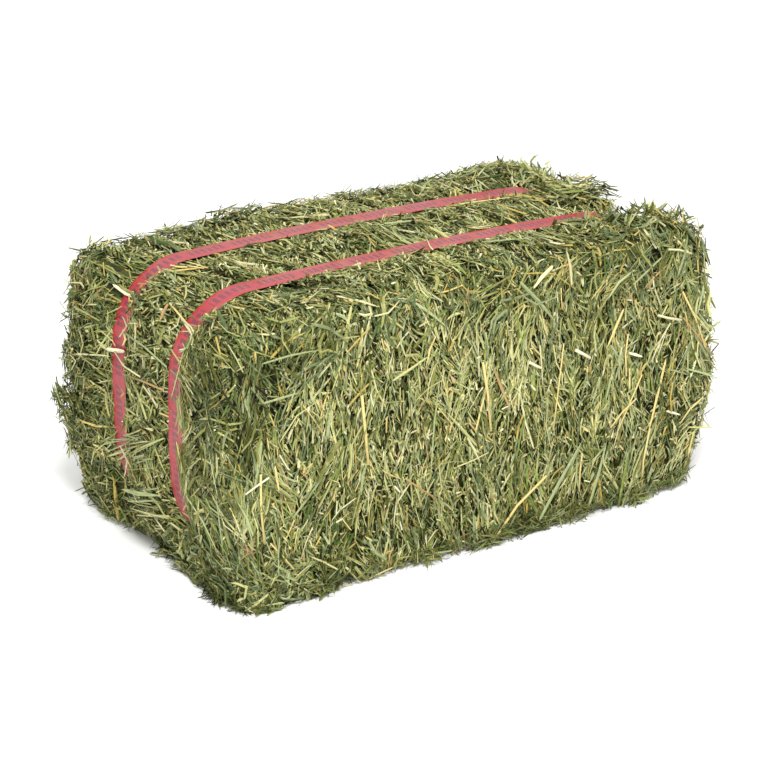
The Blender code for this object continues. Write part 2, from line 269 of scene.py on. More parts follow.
def centre_lines(side, middle, heading, length, bend, height, tips, tilt, follow, creep):
    """Bent lines round their middles, pressed onto the form and lifted by their height.

    Tips lifts the two ends, by the square of the distance from the middle, and tilt raises one
    end and sinks the other. Follow is 1 for a limp stem and 0 for one that runs on straight.
    """
    outward, first, second = side_axes(side)
    count = len(middle)
    cosine = np.cos(heading)[:, None]
    sine = np.sin(heading)[:, None]
    forward = cosine * first + sine * second
    from_middle = STATIONS - 0.5
    run = length[:, None, None] * from_middle[:, None]
    sway = (bend * length)[:, None, None] * (from_middle[:, None] ** 2 * 4.0 - 1.0 / 3.0)
    flat = middle[:, None] + run * forward[:, None] + sway * np.cross(outward, forward)[:, None]
    line, line_normal, _ = form_and_normal(flat.reshape(-1, 3), first, second, outward)
    base, normal, along = form_and_normal(middle, first, second, outward)
    across = np.cross(normal, along) * np.sign((np.cross(outward, first) * second).sum())
    ahead = cosine * along + sine * across
    straight = base[:, None] + run * ahead[:, None] + sway * np.cross(normal, ahead)[:, None]
    blend = follow[:, None, None]
    line = blend * line.reshape(count, -1, 3) + (1.0 - blend) * straight
    over = unit(line_normal.reshape(count, -1, 3) * blend + normal[:, None] * (1.0 - blend))
    lift = height[:, None] + tips[:, None] * (2.0 * from_middle) ** 2 + tilt[:, None] * 2.0 * from_middle
    ceiling = strap_ceiling(line.reshape(-1, 3), np.repeat(creep, len(STATIONS))).reshape(count, -1)
    return line + over * np.minimum(lift, ceiling)[:, :, None], over


print("a line has", len(STATIONS), "stations")

# %% [markdown]
# ## Three kinds of hay
# There are leaves, thin and folded along the middle, stems, round and cut off square, and chaff,
# short broken pieces of both. Each is a small closed mesh with a few faces, because it is
# repeated thousands of times. A leaf is a three-sided sliver with a ridge, blunt at one end and
# pointed at the other, and a stem is a five-sided tube with two caps. A short leaf has one ring
# fewer, and chaff has only one.

# %% The shape of one leaf, one stem, one bit of chaff
TONES = 64
CUT_TONE = 62


def sliver(ring_stations, ring_widths, sides, capped):
    """A closed strip as a template: rings of vertices along a line, and triangles between them.

    A vertex is its station, its place across in half widths and its place up in thicknesses.
    Sides is 3 for a folded leaf and more for a tube. Without caps both ends are points.
    """
    if sides == 3:
        ring = np.array([[1.0, 0.0], [0.0, 1.0], [-1.0, 0.0]])
    else:
        turn = 2.0 * np.pi * np.arange(sides) / sides
        ring = np.column_stack([np.cos(turn), np.sin(turn)])
    vertices = [[0.0, 0.0, 0.0]]
    for station, width in zip(ring_stations, ring_widths):
        vertices += [[station, width * a, width * b] for a, b in ring]
    vertices.append([1.0, 0.0, 0.0])
    last = len(vertices) - 1
    triangles = []
    for p in range(sides):
        q = (p + 1) % sides
        triangles.append([0, 1 + p, 1 + q])
        for level in range(len(ring_stations) - 1):
            a = 1 + level * sides
            b = a + sides
            triangles += [[a + q, a + p, b + p], [a + q, b + p, b + q]]
        top = 1 + (len(ring_stations) - 1) * sides
        triangles.append([top + q, top + p, last])
    vertices = np.array(vertices)
    triangles = np.array(triangles)
    caps = (triangles == 0).any(axis=1) | (triangles == last).any(axis=1)
    return dict(vertices=vertices, triangles=triangles, caps=caps & capped, smooth=sides > 3)


LONG_LEAF = sliver((0.06, 0.50, 0.86), (0.75, 1.0, 0.60), 3, False)
LEAF = sliver((0.08, 0.84), (0.90, 0.80), 3, False)
STEM = sliver((0.0, 0.5, 1.0), (1.0, 0.96, 0.90), 5, True)
CHAFF = sliver((0.22,), (1.0,), 3, False)
print("triangles", [len(shape["triangles"]) for shape in (LONG_LEAF, LEAF, STEM, CHAFF)])

# %% [markdown]
# ## From a line to a mesh
# The template is bent along every centre line at once. At each station the line gives the way
# ahead, its normal rolled a little gives the way up, and their cross product the way across.
# The texture map has 64 narrow columns, one for each tone of hay: a leaf takes a column for its
# colour, and a stretch of it as long as itself, so no two neighbours show the same marks.

# %% Bend a template along all the lines
MAP_LENGTH = 0.16
MAP_EDGE = 0.01
MARGIN = 0.14


def bend_along(shape, lines, normals, roll, half_width, thickness, tone):
    """Vertex = the line at its station + across times half width + up times thickness."""
    count = len(lines)
    ahead = unit(np.gradient(lines, axis=1))
    across = unit(np.cross(ahead, normals))
    up = np.cross(across, ahead)
    cosine = np.cos(roll)[:, None, None]
    sine = np.sin(roll)[:, None, None]
    across, up = cosine * across + sine * up, cosine * up - sine * across
    station, side, rise = shape["vertices"].T
    place = station * (len(STATIONS) - 1)
    before = np.minimum(place.astype(int), len(STATIONS) - 2)
    share = (place - before)[:, None]

    def at_stations(values):
        return values[:, before] * (1.0 - share) + values[:, before + 1] * share

    points = at_stations(lines)
    points += at_stations(across) * (half_width[:, None] * side)[:, :, None]
    points += at_stations(up) * (thickness[:, None] * rise)[:, :, None]
    points[:, :, 2] = np.maximum(points[:, :, 2], GROUND_CLEARANCE)
    size = len(station)
    triangles = shape["triangles"][None] + size * np.arange(count)[:, None, None]
    corners = shape["triangles"].ravel()
    span = np.linalg.norm(lines[:, -1] - lines[:, 0], axis=1) / MAP_LENGTH
    start = random.uniform(0.0, 1.0, count) * np.maximum(1.0 - span, 0.0)
    along = start[:, None] + np.minimum(span, 1.0)[:, None] * station[corners]
    column = np.where(np.repeat(shape["caps"], 3), CUT_TONE, tone[:, None])
    place_across = MARGIN + (1.0 - 2.0 * MARGIN) * (0.5 + 0.5 * side[corners])
    texture = np.stack([(column + place_across) / TONES, MAP_EDGE + (1.0 - 2.0 * MAP_EDGE) * along], axis=2)
    smooth = np.full(count * len(shape["triangles"]), shape["smooth"]) & ~np.tile(shape["caps"], count)
    return points.reshape(-1, 3), triangles.reshape(-1, 3), texture.reshape(-1, 2), smooth


def mesh_piece(name, parts, material):
    """One object from several sets of points, triangles, texture places and smooth marks."""
    shift = np.cumsum([0] + [len(points) for points, _, _, _ in parts[:-1]])
    points = np.concatenate([part[0] for part in parts])
    triangles = np.concatenate([part[1] + s for part, s in zip(parts, shift)])
    mesh = bpy.data.meshes.new(name)
    mesh.vertices.add(len(points))
    mesh.vertices.foreach_set("co", points.astype(np.float32).ravel())
    mesh.loops.add(triangles.size)
    mesh.loops.foreach_set("vertex_index", triangles.astype(np.int32).ravel())
    mesh.polygons.add(len(triangles))
    mesh.polygons.foreach_set("loop_start", np.arange(0, triangles.size, 3, dtype=np.int32))
    mesh.update(calc_edges=True)
    mesh.polygons.foreach_set("use_smooth", np.concatenate([part[3] for part in parts]))
    texture = mesh.uv_layers.new(name="OFBake")
    texture.data.foreach_set("uv", np.concatenate([part[2] for part in parts]).astype(np.float32).ravel())
    mesh.materials.append(material)
    made = bpy.data.objects.new(name, mesh)
    bpy.context.scene.collection.objects.link(made)
    return made


# %% [markdown]
# ## The colours of dry grass
# Hay is never one green. The deep family, near black olive, is painted shade for the gaps; there
# is sage and grey green on most leaves, fresh green where the sun did not reach, and straw, tan
# and cream on the stalks. A family of tones is how many of the 64 columns it takes, its darkest
# and its lightest tone. The material is one colour ramp over the columns, so it bakes exactly.

# %% Palette
PALETTE = {
    # deep is painted shade: the near black seen in the gaps between leaves
    "deep": (8, (20, 24, 7), (70, 74, 28)),
    "olive": (12, (78, 82, 30), (144, 145, 76)),
    "sage": (12, (142, 145, 82), (200, 198, 134)),
    "pale": (8, (188, 184, 133), (217, 211, 169)),
    "grey_green": (8, (84, 100, 62), (166, 176, 126)),
    "fresh": (6, (70, 92, 34), (136, 152, 74)),
    "straw": (5, (182, 160, 80), (226, 206, 138)),
    "tan": (3, (138, 110, 70), (196, 162, 110)),
    "cut": (2, (212, 206, 162), (228, 222, 188)),
}


def linear(colour):
    """Screen values from 0 to 255 as light: the usual 2.4 power with its straight foot."""
    value = np.array(colour, float) / 255.0
    return np.where(value <= 0.04045, value / 12.92, ((value + 0.055) / 1.055) ** 2.4)


def columns(family):
    """The first and the last column of a family of tones."""
    first = 0
    for name, (count, _, _) in PALETTE.items():
        if name == family:
            return first, first + count - 1
        first += count
    raise KeyError(family)


assert sum(count for count, _, _ in PALETTE.values()) == TONES
print("the straw tones are columns", columns("straw"))

# %% [markdown]
# ## Shader sums as plain Python
# A material is a small graph of sums. One class wraps a socket, so that it can be added,
# multiplied and taken from 1 as a number would be. Every other node comes from one method.

# %% A socket that can be reckoned with


class Value:
    """A single number that changes over a surface."""

    def __init__(self, socket):
        self.socket = socket

    def _math(self, operation, first, second=None):
        tree = self.socket.id_data
        made = tree.nodes.new("ShaderNodeMath")
        made.operation = operation
        for place, item in enumerate((first, second)):
            if isinstance(item, Value):
                tree.links.new(item.socket, made.inputs[place])
            elif item is not None:
                made.inputs[place].default_value = item
        return Value(made.outputs[0])

    def __add__(self, other):
        return self._math("ADD", self, other)

    def __mul__(self, other):
        return self._math("MULTIPLY", self, other)

    def __sub__(self, other):
        return self._math("SUBTRACT", self, other)

    def __rsub__(self, other):
        return self._math("SUBTRACT", other, self)

    def __gt__(self, other):
        return self._math("GREATER_THAN", self, other)

    __radd__ = __add__
    __rmul__ = __mul__

    def floor(self):
        return self._math("FLOOR", self)

    def fraction(self):
        return self._math("FRACT", self)

    def sine(self):
        return self._math("SINE", self)

    def absolute(self):
        return self._math("ABSOLUTE", self)


class Finish:
    """A material under construction."""

    def __init__(self, name):
        self.material = bpy.data.materials.new(name)
        self.material.use_nodes = True
        self.tree = self.material.node_tree
        self.tree.nodes.clear()

    def node(self, kind, settings=None, inputs=None):
        """A node of that kind: its settings first, then a value or a link for each socket."""
        made = self.tree.nodes.new("ShaderNode" + kind)
        for name, value in (settings or {}).items():
            if name == "stops":
                self._set_stops(made.color_ramp, value)
            else:
                setattr(made, name, value)
        for name, value in (inputs or {}).items():
            source = value.socket if isinstance(value, Value) else value
            if isinstance(source, bpy.types.NodeSocket):
                self.tree.links.new(source, made.inputs[name])
            else:
                made.inputs[name].default_value = source
        return made

    def _set_stops(self, ramp, stops):
        for _ in range(len(stops) - 2):
            ramp.elements.new(0.5)
        for element, (place, colour) in zip(ramp.elements, stops):
            element.position = place
            element.color = (*colour, 1.0)

    def map_place(self):
        """Across and along in the piece's own texture map, as two values."""
        place = self.node("UVMap", {"uv_map": "OFBake"})
        parts = self.node("SeparateXYZ", inputs={0: place.outputs[0]})
        return Value(parts.outputs[0]), Value(parts.outputs[1])

    def noise(self, x, y, z, detail=3.0):
        """Noise at a place put together from three values, with about 0.5 as its middle."""
        place = self.node("CombineXYZ", inputs={0: x, 1: y, 2: z})
        made = self.node("TexNoise", inputs={"Vector": place.outputs[0], "Scale": 1.0, "Detail": detail})
        return Value(made.outputs["Fac"])

    def mix(self, factor, first, second, blend="MIX"):
        """The first colour gives way to the second by the factor."""
        settings = {"data_type": "RGBA", "blend_type": blend}
        return self.node("Mix", settings, {0: factor, 6: first, 7: second}).outputs[2]

    def surface(self, constants, **linked):
        """The shader itself. Constants sit on its sockets, and only what changes is linked."""
        inputs = {**constants, **{name.replace("_", " "): value for name, value in linked.items()}}
        shader = self.node("BsdfPrincipled", inputs=inputs)
        self.node("OutputMaterial", inputs={0: shader.outputs[0]})
        return self.material


print("a value knows", sorted(name for name in vars(Value) if not name.startswith("__")))

# %% [markdown]
# ## The finish of hay
# Dry grass is dull with a faint waxy gloss, with fine veins along it, bleached patches and small
# brown specks. All of that is read from the piece's own map: the whole part of the column
# number is the tone, the rest is the place across the leaf, and the other way runs along it.

# %% The hay material
BLEACHED = 0.88 * linear((214, 204, 150))
SPECK = 0.82 * linear((84, 66, 32))
DRY_SHARE = 0.945
VEINS = 4.0


def palette_stops():
    """Two stops for each family, at the middle of its first and of its last column.

    The palette holds screen tones in full light, and a share of them is what the hay reflects.
    """
    stops = []
    for name, (_, dark, light) in PALETTE.items():
        for column, tone in zip(columns(name), (dark, light)):
            stops.append(((column + 0.5) / TONES, DRY_SHARE * linear(tone)))
    return stops


def hay_finish():
    """Colour = the ramp at the column, made patchy by noise along it. Bump = veins and noise."""
    finish = Finish("dry_hay")
    across, along = finish.map_place()
    column = (across * TONES).floor()
    inside = (across * TONES).fraction()
    ramp = finish.node("ValToRGB", {"stops": palette_stops()}, {0: (column + 0.5) * (1.0 / TONES)})
    patchy = finish.noise(column * 3.71, along * 26.0, inside * 0.8, detail=4.0)
    fine = finish.noise(column * 5.3 + 40.0, along * 150.0, inside * 3.0)
    not_deep = column > columns("deep")[1] + 0.5
    bleached = finish.mix((patchy - 0.5) * 1.5 * not_deep, ramp.outputs[0], (*BLEACHED, 1.0))
    specked = finish.mix((fine > 0.66) * 0.4, bleached, (*SPECK, 1.0))
    veins = (inside * (2.0 * np.pi * VEINS)).sine() * 0.5 + 0.5
    shade = veins * 0.10 + fine * 0.5 + 0.68
    grey = finish.node("CombineColor", inputs={0: shade, 1: shade, 2: shade})
    colour = finish.mix(1.0, specked, grey.outputs[0], blend="MULTIPLY")
    bump = finish.node("Bump", inputs={"Height": veins + fine * 0.8, "Distance": 0.0003, "Strength": 0.5})
    return finish.surface(
        {"IOR": 1.45, "Specular IOR Level": 0.20},
        Base_Color=colour,
        Roughness=0.48 + patchy * 0.25,
        Normal=bump.outputs[0],
    )


hay = hay_finish()
print("the hay material has", len(hay.node_tree.nodes), "nodes")

# %% [markdown]
# ## The dark core
# Between the leaves the eye falls into shade, but never through the bale. Under the leaves of
# each flake lies a closed slab of packed chaff, the same form drawn in by its depth, in the deep
# tones only: painted shade seen through the gaps. It is a walk round the section, repeated along
# the flake, and rings that shrink to a point close it.

# %% The core of each flake
FLAKES = len(flake_names)
FLAKE_THICK = LENGTH / FLAKES
FLAKE_GAP = 0.0008
CORE_DEPTH = 0.0075
CORE_WALK = 132
CORE_STATIONS = 9
CORE_ROUGHNESS = 0.0016
END_RINGS = 14


def closed_rings(points, around):
    """Points in rings, with a pole added to each end, and triangles: two to a cell, and two fans."""
    count = len(points) // around
    ring = np.arange(around)
    following = (ring + 1) % around
    rows = np.arange(count - 1)[:, None] * around
    a = (rows + ring).ravel()
    b = (rows + following).ravel()
    last = (count - 1) * around
    pole = np.full(around, len(points))
    triangles = np.concatenate([
        np.column_stack([a, b, b + around]),
        np.column_stack([a, b + around, a + around]),
        np.column_stack([following, ring, pole]),
        np.column_stack([last + ring, last + following, pole + 1]),
    ])
    return np.concatenate([points, [points[:around].mean(axis=0), points[last:].mean(axis=0)]]), triangles


def section_walk(count):
    """Y and Z round the sharp section in half sizes, each side walked quicker in its middle."""
    side, run = np.divmod(4.0 * np.arange(count) / count, 1.0)
    even = 2.0 * run - 1.0
    eased = 0.5 * (even + np.sin(even * np.pi / 2.0))
    one = np.ones(count)
    y = np.select([side == 0, side == 1, side == 2], [eased, one, -eased], -one)
    z = np.select([side == 0, side == 1, side == 2], [-one, eased, one], -eased)
    return y, z


def core_part(index):
    """Rings of the walk: out from the middle of one broad side, along, and in to the other's.

    The near end's slab stops a little short of its neighbour, which the hay over it hides.
    """
    y, z = section_walk(CORE_WALK)
    is_first = index == 0
    is_last = index == FLAKES - 1
    low = -HALF[0] + index * FLAKE_THICK + (0.0 if is_first else FLAKE_GAP)
    high = -HALF[0] + (index + 1) * FLAKE_THICK - (0.0 if is_last else FLAKE_GAP)
    opening = np.linspace(0.0, 1.0, END_RINGS if is_first else 2, endpoint=False)[1:]
    closing = np.linspace(1.0, 0.0, END_RINGS if is_last else 2, endpoint=False)[1:]
    shares = np.concatenate([opening, np.ones(CORE_STATIONS), closing])[:, None]
    x = np.concatenate([low + 0.0 * opening, np.linspace(low, high, CORE_STATIONS), high + 0.0 * closing])
    nominal = np.column_stack([
        np.repeat(x, CORE_WALK), (shares * y * HALF[1]).ravel(), (shares * z * HALF[2]).ravel(),
    ])
    inward = 1.0 - CORE_DEPTH / HALF
    if is_first:
        nominal[:, 0] /= np.where(nominal[:, 0] > low + 0.5 * FLAKE_THICK, inward[0], 1.0)
    middle = np.array([0.0, 0.0, HALF[2]])
    points = middle + (press(nominal) - middle) * np.array([1.0, inward[1], inward[2]])
    if is_first:
        points[:, 0] += CORE_DEPTH * (nominal[:, 0] <= low + TINY)
    if is_last:
        points[:, 0] -= CORE_DEPTH * (nominal[:, 0] >= high - TINY)
    points += CORE_ROUGHNESS * random.normal(size=points.shape) * np.array([0.0, 1.0, 1.0])
    points[:, 2] = np.maximum(points[:, 2], 2.0 * GROUND_CLEARANCE)
    vertices, triangles = closed_rings(points, CORE_WALK)
    # The core takes only the deep tones: painted shade seen through the gaps.
    tone = random.integers(0, PALETTE["deep"][0], len(triangles))
    start = random.uniform(0.0, 0.9, len(triangles))
    texture = np.stack([
        (tone[:, None] + np.array([0.2, 0.8, 0.5])) / TONES,
        start[:, None] + np.array([0.0, 0.0, 0.05]),
    ], axis=2)
    return vertices, triangles, texture.reshape(-1, 2), np.zeros(len(triangles), bool)


cores = [core_part(index) for index in range(FLAKES)]
print("a core has", len(cores[4][1]), "triangles and an end one", len(cores[0][1]))

# %% [markdown]
# ## Locks of hay
# Combed grass keeps together in locks: a few dozen stems that run one way, at one height, with
# a gap before the next lock, where the stems sink and are darkened as painted shade. Seeds are
# scattered over a side, and every stem belongs to the nearest one, where a step along the stems
# counts less than one across. A seed gives its stems their heading, their height and how light
# they are.

# %% Seeds of the locks
LOCKS_PER_AREA = 1500
LOCK_STRETCH = 2.6
LOCK_HEADING = np.radians(19.0)
LOCK_LIFT = 0.0042
LOCK_LIGHT = 0.245
CREVICE_WIDTH = 0.0030
CREVICE_DEPTH = 0.0036
# Painted shade in the gaps between locks.
CREVICE_SHADE = 0.36
END_LIFT = 1.3
END_SPREAD = 2.4


def scattered(side, count):
    """Points at random on a side of the sharp box."""
    outward, first, second = side_axes(side)
    points = np.tile(outward * HALF, (count, 1))
    points += (random.uniform(-1.0, 1.0, (count, 1)) * (HALF @ np.abs(first))) * first
    return points + (random.uniform(-1.0, 1.0, (count, 1)) * (HALF @ np.abs(second))) * second


def make_locks(side):
    """Seeds with a place in the side, a heading, a lift and a light of their own."""
    count = int(LOCKS_PER_AREA * side_area(side))
    is_end = "end" in side
    return dict(
        place=scattered(side, count),
        heading=LOCK_HEADING * (END_SPREAD if is_end else 1.0) * random.normal(size=count),
        lift=LOCK_LIFT * (END_LIFT if is_end else 1.0) * random.uniform(-1.0, 1.0, count),
        light=LOCK_LIGHT * random.normal(size=count),
    )


def nearest_lock(side, points):
    """The nearest seed to each point, and how near it is to the border with the next: 1 on it."""
    _, first, second = side_axes(side)
    turn = np.radians(SIDES[side]["turn"])
    along = np.cos(turn) * first + np.sin(turn) * second
    across = np.sin(turn) * first - np.cos(turn) * second
    axes = np.stack([along / LOCK_STRETCH, across], axis=1)
    away = (points @ axes)[:, None] - (locks[side]["place"] @ axes)[None]
    distance = np.linalg.norm(away, axis=2)
    two = np.partition(distance, 1, axis=1)[:, :2]
    return np.argmin(distance, axis=1), np.exp(-(two[:, 1] - two[:, 0]) / CREVICE_WIDTH)


locks = {side: make_locks(side) for side in SIDES}
print("locks", {side: len(found["lift"]) for side, found in locks.items()})

# %% [markdown]
# ## Spreading the hay
# The hay is laid down in layers, from short dark chaff near the core, dark as painted shade, to
# pale stalks on top. A layer is a row of a table, in millimetres and degrees: its number is bits
# to the square metre, and its tones are families by weight. What lies deep takes the dark end of
# its family and what lies high the light end, a painted shade that deepens the gaps. Painted shades
# make the foot, the rim of the top and the near corner darker, and swells wear the hay in or build
# it out round a few places.

# %% The layers
LAYER_COLUMNS = (
    "shape", "number", "spread", "length", "width", "height", "tips", "bend", "follow", "tones",
)
LAYERS = {
    # The two beds lean to the deep tones: painted shade under the hay.
    "chaff_bed": (CHAFF, 15500, 60, (8, 24), (1, 2.2), (-7, -2.5), (0, 0.5), 0.1, (0.9, 1.0),
        dict(deep=7, olive=4, tan=0.4)),
    "bed": (LEAF, 15000, 18, (12, 40), (0.6, 1.6), (-5.5, -0.5), (0, 1), 0.08, (0.8, 1.0),
        dict(deep=4, olive=5, sage=1.5, grey_green=2.5, fresh=1.2)),
    "cover": (LEAF, 17000, 24, (10, 34), (0.5, 1.3), (-2.5, 2), (0, 3), 0.08, (0.5, 1.0),
        dict(olive=4, sage=5, pale=1.2, grey_green=4, fresh=1.6, straw=0.5, tan=0.15)),
    "bits": (CHAFF, 36000, 34, (5, 19), (0.7, 1.9), (-2.8, 2.7), (-1, 2), 0.1, (0.6, 1.0),
        dict(olive=4, sage=5, pale=1.4, grey_green=4, fresh=1.2, straw=0.8, tan=0.35)),
    "long": (LONG_LEAF, 2600, 16, (35, 80), (0.7, 1.8), (-2, 3), (0, 3), 0.07, (0.6, 1.0),
        dict(olive=3, sage=4, pale=0.8, grey_green=5, fresh=1.6, straw=0.5)),
    "stalks": (STEM, 1500, 30, (12, 50), (0.6, 1.3), (-1, 3.2), (0, 2), 0.03, (0.3, 1.0),
        dict(sage=3, pale=2, straw=2.5, grey_green=1, tan=0.4)),
    "chaff": (CHAFF, 20000, 60, (3, 10), (0.5, 1.5), (-1.5, 3.6), (-1, 2), 0.12, (0.5, 1.0),
        dict(olive=3, sage=5, pale=2.2, straw=1, tan=0.4, fresh=0.8, grey_green=3)),
    "wide": (LONG_LEAF, 600, 22, (22, 70), (1.4, 2.7), (-1, 3.4), (0, 3), 0.06, (0.4, 1.0),
        dict(olive=2, sage=3, grey_green=6, fresh=1.5, straw=1, pale=0.5)),
    "husks": (LEAF, 480, 60, (6, 14), (0.8, 1.6), (0.5, 4), (0, 2), 0.05, (0.3, 1.0),
        dict(cut=3, pale=2, straw=1)),
    "strays": (LONG_LEAF, 1300, 45, (18, 55), (0.5, 1.3), (0, 4.5), (2, 11), 0.12, (0.0, 0.4),
        dict(olive=3, sage=5, pale=1.2, grey_green=4, fresh=1, straw=0.8)),
}
LAYER_HABITS = dict(led=1.0, tilt=1.5, creep=(-1, 5))
IN_MILLIMETRES = ("first", "second", "length", "width", "height", "tips", "creep", "tilt")
HEADING_DRIFT = np.radians(11.0)
HEADING_WAVES = 30.0
HEADING_SHARE = (0.3, 1.2)
END_WILDNESS = 1.6
LIGHT_DRIFT = 0.14
LIGHT_WAVES = 48.0
MIDDLE_TONE = 0.54
# Painted shade: bits that lie deeper take darker tones.
DEPTH_SHADE = 0.35
TONE_SCATTER = 0.24
GAP_SHARE = 0.62
GAP_BY_SHADE = 3.6
GAP_LIMIT = 1.3
ROLL = 0.55
THINNESS = (0.25, 0.6)
# Painted shade by place: the rows darken the foot, the rim of the top, the left, the near corner, its toe and
# the far left of the near end.
# How much darker, and the products of ramps: a coordinate, where its ramp starts, and how far
# it takes to grow full, below that place, or above it if the reach is negative.
SHADES = [
    (0.22, [("z", -HALF[2] + 0.100, 0.100)]),
    (0.40, [("z", HALF[2] - 0.070, -0.070), ("aside", HALF[1] - 0.070, -0.070)]),
    (0.04, [("x", -0.120, 0.200)]),
    (0.34, [("x", -0.205, 0.100), ("y", -0.095, 0.020), ("z", -0.030, -0.060)]),
    (0.30, [("x", -0.220, 0.080), ("y", -0.070, 0.080), ("z", -0.100, 0.040)]),
    (0.60, [("x", -0.300, 0.020), ("y", 0.080, -0.060)]),
]
SWELLS = [
    ((0.325, -0.190, -0.150), (0.060, 0.060, 0.060), -0.005),
    ((-0.328, 0.050, -0.155), (0.050, 0.035, 0.040), -0.008),
    ((0.328, -0.100, 0.020), (0.050, 0.130, 0.140), -0.005),
    ((0.120, 0.191, 0.162), (0.100, 0.060, 0.040), -0.006),
    ((-0.250, 0.191, 0.162), (0.070, 0.060, 0.040), -0.004),
    ((-0.328, 0.185, 0.090), (0.040, 0.060, 0.045), -0.006),
    ((-0.328, 0.185, -0.030), (0.040, 0.060, 0.050), 0.007),
    ((-0.328, -0.130, -0.155), (0.050, 0.075, 0.035), 0.006),
]


def filled_in(titles, row, habits):
    """A row of a table as a dict: its columns, its own habits and the usual ones, in metres."""
    own = row[len(titles)] if len(row) > len(titles) else {}
    named = {**habits, **dict(zip(titles, row)), **own}
    return {key: np.divide(value, 1000.0) if key in IN_MILLIMETRES else value for key, value in named.items()}


def shade_at(points):
    """How much painted shade darkens hay by where it lies: each shade times the product of its ramps."""
    places = dict(zip("xyz", points.T), aside=np.abs(points[:, 1]))
    shade = np.zeros(len(points))
    for depth, ramps in SHADES:
        grown = [smooth_step((start - places[axis]) / reach) for axis, start, reach in ramps]
        shade += depth * np.prod(grown, axis=0)
    return shade


def swells(points):
    """How far the hay stands out or is worn in round a few places: the sum of a bell for each."""
    out = np.zeros(len(points))
    for centre, size, rise in SWELLS:
        out += rise * np.exp(-(((points - centre) / size) ** 2).sum(axis=1))
    return out


def pick_tones(families, light):
    """A family for each bit by its weight, then the column of that family which its light asks for."""
    names = list(families)
    weights = np.array([families[name] for name in names], float)
    chosen = random.choice(len(names), size=len(light), p=weights / weights.sum())
    first = np.array([columns(name)[0] for name in names])[chosen]
    last = np.array([columns(name)[1] for name in names])[chosen]
    share = np.clip(light + TONE_SCATTER * random.normal(size=len(light)), 0.0, 0.999)
    return first + np.floor(share * (last - first + 1)).astype(int)


def between(limits, count, power=1.0):
    """Random values between two limits, more of them near the lower one for a greater power."""
    return limits[0] + (limits[1] - limits[0]) * random.uniform(0.0, 1.0, count) ** power


def lay_down(side, layer, middle, heading, light):
    """Bits of one layer with their middles and headings given, as a part."""
    count = len(middle)
    owner, border = nearest_lock(side, middle)
    lock = {key: values[owner] for key, values in locks[side].items()}
    height = between(layer["height"], count)
    low, high = layer["height"]
    # Painted shade: a side's light darkens the top and the ends, and the depth term darkens what lies low.
    light = light + MIDDLE_TONE + SIDES[side]["light"] + DEPTH_SHADE * ((height - low) / (high - low) - 0.5)
    darker = shade_at(middle) - LIGHT_DRIFT * drift(middle, LIGHT_WAVES, 9)
    # The gap sinks the stems at a border between locks and darkens their tone as painted shade, more where
    # the place is painted darker.
    gap = border * (GAP_SHARE + np.clip(GAP_BY_SHADE * darker, 0.0, GAP_LIMIT))
    light += lock["light"] - darker - CREVICE_SHADE * gap
    lines, normals = centre_lines(
        side, middle,
        heading=heading + layer["led"] * lock["heading"] + np.pi * random.integers(0, 2, count),
        length=SIDES[side]["short"] * between(layer["length"], count, 1.4),
        bend=layer["bend"] * random.normal(size=count),
        height=height + lock["lift"] - CREVICE_DEPTH * gap + swells(middle),
        tips=between(layer["tips"], count, 1.5),
        tilt=layer["tilt"] * random.normal(size=count),
        follow=between(layer["follow"], count),
        creep=between(layer["creep"], count, 2.5),
    )
    half_width = between(layer["width"], count, 1.3)
    thin = 1.0 if layer["shape"] is STEM else random.uniform(*THINNESS, count)
    roll = random.normal(size=count) * ROLL
    tone = pick_tones(layer["tones"], light)
    return bend_along(layer["shape"], lines, normals, roll, half_width, half_width * thin, tone)


def spread_layer(side, layer):
    """One layer on one side: middles at random, headings by the side's turn, a drift and a spread."""
    count = int(layer["number"] * side_area(side) * SIDES[side]["dense"])
    middle = scattered(side, count)
    wide = np.radians(layer["spread"]) * (END_WILDNESS if "end" in side else 1.0)
    heading = wide * random.normal(size=count) * random.uniform(*HEADING_SHARE, count)
    heading += np.radians(SIDES[side]["turn"]) + HEADING_DRIFT * drift(middle, HEADING_WAVES, 3)
    return lay_down(side, layer, middle, heading, 0.0), middle[:, 0]


def split_by_flake(part, place, shape):
    """The bits of a part that belong to each flake, by the X of their middles."""
    points, _, texture, smooth = part
    size = len(shape["vertices"])
    rows_of = [values.reshape(len(place), -1) for values in (points, texture, smooth)]
    owner = np.clip(((place + HALF[0]) / FLAKE_THICK).astype(int), 0, FLAKES - 1)
    for index in range(FLAKES):
        mine = owner == index
        points, texture, smooth = [values[mine].ravel() for values in rows_of]
        triangles = shape["triangles"][None] + size * np.arange(mine.sum())[:, None, None]
        yield index, (points.reshape(-1, 3), triangles.reshape(-1, 3), texture.reshape(-1, 2), smooth)


flake_parts = [[core] for core in cores]
total = 0
for label, row in LAYERS.items():
    layer = filled_in(LAYER_COLUMNS, row, LAYER_HABITS)
    for side in SIDES:
        made, place = spread_layer(side, layer)
        total += len(made[1])
        for index, part in split_by_flake(made, place, layer["shape"]):
            flake_parts[index].append(part)
    print(label, "brings the hay to", total, "triangles")

# %% Make a piece of each flake


def outward_volume(mesh):
    """The signed volume of a closed mesh: positive when its faces point outwards."""
    points = np.zeros(len(mesh.vertices) * 3)
    mesh.vertices.foreach_get("co", points)
    corners = np.zeros(len(mesh.loops), int)
    mesh.loops.foreach_get("vertex_index", corners)
    a, b, c = points.reshape(-1, 3)[corners.reshape(-1, 3).T]
    return float((np.cross(a, b) * c).sum() / 6.0)


for index, name in enumerate(flake_names):
    piece = mesh_piece(name + "_hay", flake_parts[index], hay)
    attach(piece, "root")
    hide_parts(name)
    print(piece.name, len(piece.data.polygons), "triangles, volume", round(outward_volume(piece.data), 6))
